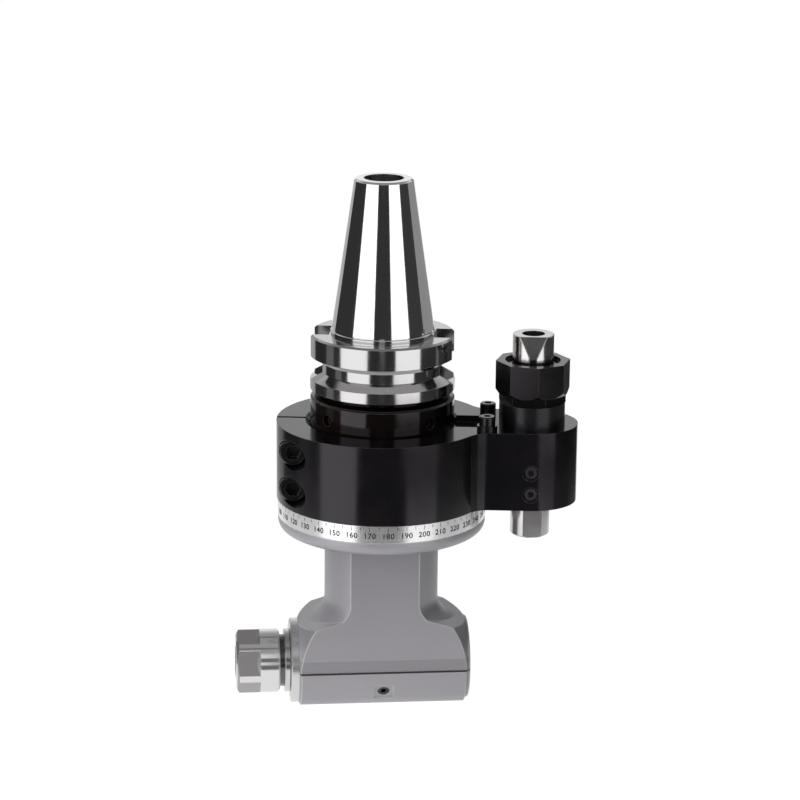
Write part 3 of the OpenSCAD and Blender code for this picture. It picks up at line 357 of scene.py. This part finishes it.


# Blasted and plated casting: pale grey, even, with a fine tooth; its edges get a painted highlight and its
# neck painted shade towards the flange
def blastedGrey():
    material, tree, shader = makeNodes("housingGrey")
    where, _, _, height = placeOf(tree)
    cloud = noise(tree, where, housing["cloudScale"], 4.0)
    tooth = noise(tree, where, housing["toothScale"], 3.0)
    soft = softEdge(tree, housing["edgeRadius"])
    shader.inputs["Metallic"].default_value = housing["metallic"]
    tone = stained(tree, cloud, housing["colour"], darker(housing["colour"], housing["stainShade"]))
    # painted shade: the neck is darkened towards the dial's flange above it
    upNeck = spread(tree, height, housing["neckFoot"], housing["neckTop"], 0, 1)
    neckShadeMask = times(tree, upNeck, below(tree, height, housing["neckTop"], housing["neckBlend"]))
    tone = blendColour(tree, times(tree, neckShadeMask, housing["neckShade"]), tone, housing["neckShadeColour"])
    fromSeam = mathNode(tree, "SUBTRACT", height, spindle["height"])
    overSeam = above(tree, fromSeam, 0, housing["bandBlend"])
    inBand = times(tree, overSeam, below(tree, fromSeam, housing["band"], housing["bandBlend"]))
    tone = blendColour(tree, times(tree, inBand, housing["bandShade"]), tone, housing["bandColour"])
    # painted highlight: the housing's edges are paled towards near white
    onEdge = edgeMask(tree, soft, housing["edgeFrom"], housing["edgeFull"])
    tone = blendColour(tree, times(tree, onEdge, housing["edgeHighlightAmount"]), tone, housing["edgeHighlightColour"])
    offSeam = above(tree, mathNode(tree, "ABSOLUTE", fromSeam), housing["seamHalf"], housing["seamBlend"])
    tone = blendColour(tree, offSeam, housing["seamColour"], tone)
    link(tree, tone, shader.inputs["Base Color"])
    link(tree, drift(tree, tooth, *housing["rough"]), shader.inputs["Roughness"])
    link(tree, bump(tree, tooth, housing["toothDepth"], 0.5, soft), shader.inputs["Normal"])
    return material


nut = {
    "flatBack": -0.0538,     # where the flats end along the spindle
    "flatNear": 0.0124,      # and how near to its axis and how far from it they lie
    "flatFar": 0.01398,
    "flatBlend": 0.0002,
    "roundBlend": 0.00006,
    "flatColour": (0.48, 0.46, 0.47),
    "flatRougher": 0.3,
    "roundColour": (0.9, 0.89, 0.89),
    "polished": (0.09, 0.12),
    "metallic": 0.7,
    "cloudScale": 60,
    "ringScale": 9000,
    "ringDepth": 0.000001,
    "edgeRadius": 0.0002,
}


# The collet nut is polished where it is round, and its flats are ground
def nutSteel():
    material, tree, shader = makeNodes("nutSteel")
    vector, _, out, along = turnedPlace(tree, "x", spindleCentre)
    where, _, _, _ = placeOf(tree)
    cloud = noise(tree, where, nut["cloudScale"], 4.0)
    rings = noise(tree, vector, nut["ringScale"], 2.0)
    inside = below(tree, out, nut["flatFar"], nut["roundBlend"])
    ahead = below(tree, along, nut["flatBack"], nut["flatBlend"])
    flat = times(tree, inside, ahead)
    flat = times(tree, flat, above(tree, out, nut["flatNear"], nut["flatBlend"]))
    shader.inputs["Metallic"].default_value = nut["metallic"]
    link(tree, blendColour(tree, flat, nut["roundColour"], nut["flatColour"]), shader.inputs["Base Color"])
    rough = mathNode(tree, "ADD", drift(tree, cloud, *nut["polished"]), times(tree, flat, nut["flatRougher"]))
    link(tree, rough, shader.inputs["Roughness"])
    soft = softEdge(tree, nut["edgeRadius"])
    link(tree, bump(tree, rings, nut["ringDepth"], 1.0, soft), shader.inputs["Normal"])
    return material


dark = {
    "grainScale": 800,
    "grainDepth": 0.00001,
    "grainShade": 0.6,
}


# Rubber and printed ink
def plainDark(name, colour, rough):
    material, tree, shader = makeNodes(name)
    where, _, _, _ = placeOf(tree)
    grain = noise(tree, where, dark["grainScale"], 3.0)
    tone = blendColour(tree, grain, colour, darker(colour, dark["grainShade"]))
    link(tree, tone, shader.inputs["Base Color"])
    link(tree, roughDrift(tree, grain, rough), shader.inputs["Roughness"])
    link(tree, bump(tree, grain, dark["grainDepth"], 0.4), shader.inputs["Normal"])
    return material


def dress(material, *nodes):
    for name in nodes:
        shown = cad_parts[name]
        shown.data.materials.clear()
        shown.data.materials.append(material)


def spindleSteel(name, colour, rough, **others):
    return turnedSteel(name, colour, rough, "x", spindleCentre, **others)


dress(shankSteel(), "taper_shank")
dress(blackOxide("collarOxide", (0.009, 0.006, 0.005), 0.1, stain=(0.018, 0.009, 0.0075)), "bearing_collar")
dress(blackOxide("ringOxide", (0.0105, 0.0095, 0.0125), 0.16), "swivel_ring", "arm_washer")
# the screws' paler edges are wear and a painted highlight
dress(blackOxide("screwOxide", (0.009, 0.009, 0.0095), 0.17, wearAndHighlight=(0.3, 0.29, 0.3), edge=0.0002, shine=0.6),
      "pinch_screws", "arm_cap_screws", "cartridge_screws", "port_plug")
dress(blackOxide("setScrewOxide", (0.035, 0.033, 0.035), 0.24, wearAndHighlight=(0.4, 0.39, 0.4), edge=0.0002, shine=1.0),
      "arm_set_screws")
dress(blackOxide("nutOxide", (0.007, 0.0066, 0.0074), 0.15, centre=pinCentre), "pin_nut", "pin_jam_nut")
dress(blackOxide("sleeveOxide", (0.009, 0.0085, 0.0095), 0.3, centre=pinCentre), "guide_sleeve")
dress(turnedSteel("pinSteel", (0.62, 0.605, 0.6), 0.17, centre=pinCentre), "locating_pin")
dress(turnedSteel("dialSteel", (0.93, 0.93, 0.94), 0.22, stain=0.04, metallic=0.8), "scale_ring")
dress(turnedSteel("cartridgeSteel", (0.5, 0.5, 0.51), 0.3), "cartridge")
dress(blastedGrey(), "housing", "end_cap")
dress(spindleSteel("coverSteel", (0.8, 0.79, 0.8), 0.26, metallic=0.75), "nose_cover")
# the spindle's steel is made dark grey as painted shade for the gap between the collet nut and the nose ring,
# where it shows
dress(spindleSteel("spindleSteel", (0.16, 0.155, 0.15), 0.24, edge=0.00012), "output_spindle")
dress(spindleSteel("colletSteel", (0.68, 0.67, 0.67), 0.2), "nose_ring", "collet")
dress(nutSteel(), "collet_nut")
dress(turnedSteel("bearingSteel", (0.66, 0.66, 0.67), 0.15),
      "upper_bearing_inner", "upper_bearing_outer", "lower_bearing_inner", "lower_bearing_outer",
      "pilot_bearing_inner", "pilot_bearing_outer", "shaft_spacer")
dress(spindleSteel("spindleBearingSteel", (0.66, 0.66, 0.67), 0.15),
      "nose_bearing_outers", "nose_bearing_inners", "tail_bearing_outer", "tail_bearing_inner")
dress(turnedSteel("ballSteel", (0.82, 0.82, 0.83), 0.06),
      "upper_bearing_balls", "lower_bearing_balls", "pilot_bearing_balls", "nose_bearing_balls",
      "tail_bearing_balls")
dress(turnedSteel("gearSteel", (0.42, 0.41, 0.4), 0.32), "drive_gear", "drive_gear_pin", "shaft_lock_nut")
dress(spindleSteel("spindleGearSteel", (0.42, 0.41, 0.4), 0.32),
      "driven_gear", "driven_gear_pin", "spindle_lock_nut", "tail_lock_nut")
dress(turnedSteel("springSteel", (0.4, 0.39, 0.38), 0.3, centre=pinCentre), "pin_spring", "pin_clip")
dress(spindleSteel("clipSteel", (0.36, 0.36, 0.36), 0.34), "bearing_clip", "nut_ring")
dress(plainDark("sealRubber", (0.02, 0.02, 0.02), 0.6), "shaft_seal", "nose_seal")
print("dressed the nodes")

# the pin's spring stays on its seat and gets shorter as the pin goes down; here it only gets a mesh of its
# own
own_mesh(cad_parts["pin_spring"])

dial = {
    "radius": 0.0454,
    "proud": 0.00004,        # how far the ink stands off the ring
    "top": -0.0758,
    "turn": -91.4,           # azimuth of the middle number
    "middleNumber": 180,
    "numberStep": 10,
    "numberHeight": 0.0024,
    "numberMiddle": -0.0801,
    "letterSize": 1.38,      # a letter's size setting, against the height of a numeral
    "letterSpace": 1.1,
    "letterBold": 0.00006,
    "tickStep": 5,
    "tickLength": 0.0013,
    "tickLongLength": 0.0018,
    "tickWidth": 0.00022,
    "tickDrop": 0.0005,
}

inkRadius = dial["radius"] + dial["proud"]
inkMaterial = plainDark("dialInk", (0.012, 0.012, 0.013), 0.5)


# Bends flat artwork, drawn in x and y, round the dial ring
def wrapRoundDial(mesh, azimuth, middle):
    for v in mesh.vertices:
        a = azimuth + v.co.x / dial["radius"]
        v.co = (inkRadius * math.cos(a), inkRadius * math.sin(a), middle + v.co.y)


def numberMesh(text):
    curve = bpy.data.curves.new("number" + text, "FONT")
    curve.body = text
    curve.size = dial["numberHeight"] * dial["letterSize"]
    curve.align_x = "CENTER"
    curve.align_y = "CENTER"
    curve.space_character = dial["letterSpace"]
    curve.offset = dial["letterBold"]
    holder = bpy.data.objects.new("number" + text, curve)
    bpy.context.scene.collection.objects.link(holder)
    bpy.context.view_layer.update()
    mesh = bpy.data.meshes.new_from_object(holder.evaluated_get(bpy.context.evaluated_depsgraph_get()))
    bpy.data.objects.remove(holder)
    return mesh


# The numbers and the lines above them, as one thin mesh on the ring
def makeDialMarks():
    marks = bmesh.new()
    start = math.radians(dial["turn"])
    for turn in range(0, 360, dial["numberStep"]):
        mesh = numberMesh(str((dial["middleNumber"] + turn) % 360))
        heights = [v.co.y for v in mesh.vertices]
        middle = (min(heights) + max(heights)) / 2
        for v in mesh.vertices:
            v.co.y -= middle
        wrapRoundDial(mesh, start + math.radians(turn), dial["numberMiddle"])
        marks.from_mesh(mesh)
        bpy.data.meshes.remove(mesh)
    top = dial["top"] - dial["tickDrop"]
    for turn in range(0, 360, dial["tickStep"]):
        azimuth = start + math.radians(turn)
        length = dial["tickLength"] if turn % dial["numberStep"] else dial["tickLongLength"]
        corners = []
        for side, z in ((-1, top), (1, top), (1, top - length), (-1, top - length)):
            a = azimuth + side * dial["tickWidth"] / 2 / dial["radius"]
            corners.append(marks.verts.new((inkRadius * math.cos(a), inkRadius * math.sin(a), z)))
        marks.faces.new(corners)
    mesh = bpy.data.meshes.new("dialMarks")
    marks.to_mesh(mesh)
    marks.free()
    piece = bpy.data.objects.new("dialMarks", mesh)
    bpy.context.scene.collection.objects.link(piece)
    mesh.materials.append(inkMaterial)
    return piece


dialMarks = makeDialMarks()
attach(dialMarks, "head")
print("made the dial's numbers")

studio = {
    "floorHeight": -0.1722,
    "floorHalf": 6,
    "floorColour": (0.9, 0.9, 0.9),
    "floorRough": 0.8,
    "floorGlow": 0.9,        # what the camera sees of the floor besides the lit colour
    "cameraSide": -95.1,     # azimuth from the part to the camera
    "reach": 0.65,           # distance of the soft boxes and the cards
    "top": 0.36,
    "bottom": -0.3,
    "cardSteps": 8,
}


def meshObject(name, verts, faces, material):
    mesh = bpy.data.meshes.new(name)
    mesh.from_pydata(verts, [], faces)
    mesh.materials.append(material)
    plane = bpy.data.objects.new(name, mesh)
    bpy.context.scene.collection.objects.link(plane)
    return plane


# The floor is clear from below, so that the part can be looked at from there too
def makeFloor():
    material, tree, shader = makeNodes("paleFloor")
    shader.inputs["Base Color"].default_value = (*studio["floorColour"], 1)
    shader.inputs["Roughness"].default_value = studio["floorRough"]
    shader.inputs["Specular IOR Level"].default_value = 0
    shader.inputs["Emission Color"].default_value = (1, 1, 1, 1)
    path = tree.nodes.new("ShaderNodeLightPath")
    seen = times(tree, path.outputs["Is Camera Ray"], studio["floorGlow"])
    link(tree, seen, shader.inputs["Emission Strength"])
    clear = tree.nodes.new("ShaderNodeBsdfTransparent")
    side = tree.nodes.new("ShaderNodeNewGeometry")
    both = tree.nodes.new("ShaderNodeMixShader")
    link(tree, side.outputs["Backfacing"], both.inputs[0])
    link(tree, shader.outputs[0], both.inputs[1])
    link(tree, clear.outputs[0], both.inputs[2])
    link(tree, both.outputs[0], tree.nodes["Material Output"].inputs["Surface"])
    half, z = studio["floorHalf"], studio["floorHeight"]
    corners = [(-half, -half, z), (half, -half, z), (half, half, z), (-half, half, z)]
    plane = meshObject("floor", corners, [(0, 1, 2, 3)], material)
    plane.visible_glossy = False


# angles seen from the part, counted from the camera to the right
softBoxes = {
    "leftBox": {"from": -69, "to": -19, "glow": 1.6, "lights": True},
    "rightBox": {"from": 17, "to": 60, "glow": 1.6, "lights": False},
}

# each row is a height and the card's two edges there, and near is a share of the boxes' distance
cards = {
    "frontCard": {
        "near": 0.9,
        "shade": 0.035,
        "rows": [
            (-0.3, -27, 26),
            (-0.232, -27, 26),
            (-0.226, -26, 64),
            (-0.187, -26, 64),
            (-0.178, -24, 20),
            (0, -19.5, 19),
            (0.36, -19.5, 19),
        ],
    },
    "frontGlow": {"near": 0.88, "shade": 0.9, "rows": [(-0.13, -4, 3), (-0.018, -4, 3)]},
    "upperGlow": {"near": 0.88, "shade": 0.9, "rows": [(0.14, -8, 4), (0.36, -8, 4)]},
    "backCard": {"near": 1.1, "shade": 0.035, "rows": [(-0.3, -70, 62), (0.36, -70, 62)]},
    "leftCard": {"near": 1.15, "shade": 0.035, "rows": [(-0.3, -132, -69), (0.36, -132, -69)]},
    "leftStreak": {"near": 1.12, "shade": 0.2, "rows": [(-0.3, -98, -82), (-0.13, -98, -82)]},
    "leftEdge": {"near": 1.15, "shade": 0.5, "rows": [(-0.3, -160, -132), (0.36, -160, -132)]},
    "rightCard": {
        "near": 1.15,
        "shade": 0.045,
        "rows": [(-0.3, 61, 150), (-0.14, 61, 150), (-0.11, 61, 102), (0.36, 61, 102)],
    },
    "nutLine": {"near": 1.0, "shade": 0.03, "rows": [(0.98, -60, 50), (1.27, -60, 50)]},
    "nutLineBehind": {"near": 1.0, "shade": 0.03, "rows": [(1.18, 130, 230), (1.7, 130, 230)]},
    "rightEdge": {"near": 1.18, "shade": 0.3, "rows": [(-0.15, 101, 165), (0.36, 101, 165)]},
}


# A card that stands round the part, dark or pale, seen only in its reflections
def addCard(name, card):
    material, tree, shader = makeNodes(name)
    shader.inputs["Base Color"].default_value = (0, 0, 0, 1)
    shader.inputs["Specular IOR Level"].default_value = 0
    shader.inputs["Emission Color"].default_value = (card["shade"], card["shade"], card["shade"], 1)
    shader.inputs["Emission Strength"].default_value = 1
    verts, faces = [], []
    steps = studio["cardSteps"]
    reach = studio["reach"] * card["near"]
    rows = card["rows"]
    for i in range(steps + 1):
        for z, start, end in rows:
            a = math.radians(studio["cameraSide"] + start + (end - start) * i / steps)
            verts.append((reach * math.cos(a), reach * math.sin(a), z))
    for i in range(steps):
        for k in range(i * len(rows), (i + 1) * len(rows) - 1):
            faces.append((k, k + len(rows), k + len(rows) + 1, k + 1))
    plane = meshObject(name, verts, faces, material)
    plane.visible_camera = False
    plane.visible_diffuse = False
    plane.visible_shadow = False
    plane.visible_transmission = False


# A box that doesn't light the part is only seen in its metal
def addSoftBox(name, box):
    middle = math.radians(studio["cameraSide"] + (box["from"] + box["to"]) / 2)
    half = math.radians(box["to"] - box["from"]) / 2
    reach = studio["reach"]
    lamp = bpy.data.lights.new(name, "AREA")
    lamp.shape = "RECTANGLE"
    lamp.size = 2 * reach * math.tan(half)
    lamp.size_y = studio["top"] - studio["bottom"]
    lamp.energy = box["glow"] * math.pi * lamp.size * lamp.size_y
    holder = bpy.data.objects.new(name, lamp)
    height = (studio["top"] + studio["bottom"]) / 2
    centre = Vector((reach * math.cos(middle), reach * math.sin(middle), height))
    aim = Vector((0, 0, centre.z)) - centre
    holder.location = centre
    holder.rotation_euler = aim.to_track_quat("-Z", "Y").to_euler()
    holder.visible_camera = False
    holder.visible_diffuse = box["lights"]
    bpy.context.scene.collection.objects.link(holder)


# strengths, and between which heights of the sky (1 is straight up) they change over
sky = {
    "horizonGlow": 0.95,     # what metal sees round the part, and above it
    "ceilingGlow": 0.28,
    "glowFrom": 0.3,
    "glowTo": 0.75,
    "horizonFill": 0.4,      # what lights the part besides the soft boxes, and from above
    "ceilingFill": 0.1,
    "fillFrom": 0.1,
    "fillTo": 0.8,
    "shadedFill": 0.1,       # how much of that comes from the right
    "shadedFrom": -0.1,
    "shadedTo": 0.7,
}


# Bright round the horizon and dim above, in the metal's reflections and in the light on the part
def makeWorld():
    world = bpy.data.worlds.new("paleWorld")
    bpy.context.scene.world = world
    world.use_nodes = True
    tree = world.node_tree
    tree.nodes.clear()
    coords = tree.nodes.new("ShaderNodeTexCoord")
    split = tree.nodes.new("ShaderNodeSeparateXYZ")
    link(tree, coords.outputs["Generated"], split.inputs[0])
    right, _, up = split.outputs
    path = tree.nodes.new("ShaderNodeLightPath")
    glossy = path.outputs["Is Glossy Ray"]
    mirrored = spread(tree, up, sky["glowFrom"], sky["glowTo"], sky["horizonGlow"], sky["ceilingGlow"])
    soft = spread(tree, up, sky["fillFrom"], sky["fillTo"], sky["horizonFill"], sky["ceilingFill"])
    soft = times(tree, soft, spread(tree, right, sky["shadedFrom"], sky["shadedTo"], 1, sky["shadedFill"]))
    rest = times(tree, mathNode(tree, "SUBTRACT", 1, glossy), soft)
    strength = mathNode(tree, "ADD", times(tree, glossy, mirrored), rest)
    strength = mathNode(tree, "MAXIMUM", strength, path.outputs["Is Camera Ray"])
    glow = tree.nodes.new("ShaderNodeBackground")
    glow.inputs["Color"].default_value = (1, 1, 1, 1)
    link(tree, strength, glow.inputs["Strength"])
    out = tree.nodes.new("ShaderNodeOutputWorld")
    link(tree, glow.outputs[0], out.inputs[0])


camera = {
    "place": (-0.1048, -1.1684, 0.2886),
    "tilt": 74.69,
    "turn": -5.5,
    "roll": 0.51,
    "lens": 126.03,          # this and the sensor are millimetres
    "sensor": 36,
    "near": 0.05,
    "far": 30,
}


def makeCamera():
    data = bpy.data.cameras.new("photoCamera")
    data.lens = camera["lens"]
    data.sensor_width = camera["sensor"]
    data.clip_start = camera["near"]
    data.clip_end = camera["far"]
    holder = bpy.data.objects.new("photoCamera", data)
    look = Euler((math.radians(camera["tilt"]), 0, math.radians(camera["turn"]))).to_matrix()
    look = look @ Matrix.Rotation(math.radians(camera["roll"]), 3, "Z")
    holder.matrix_world = Matrix.Translation(camera["place"]) @ look.to_4x4()
    bpy.context.scene.collection.objects.link(holder)
    bpy.context.scene.camera = holder


makeFloor()
makeWorld()
makeCamera()
for name, box in softBoxes.items():
    addSoftBox(name, box)
for name, card in cards.items():
    addCard(name, card)
bpy.context.scene.view_settings.view_transform = "Standard"
print("set the studio")
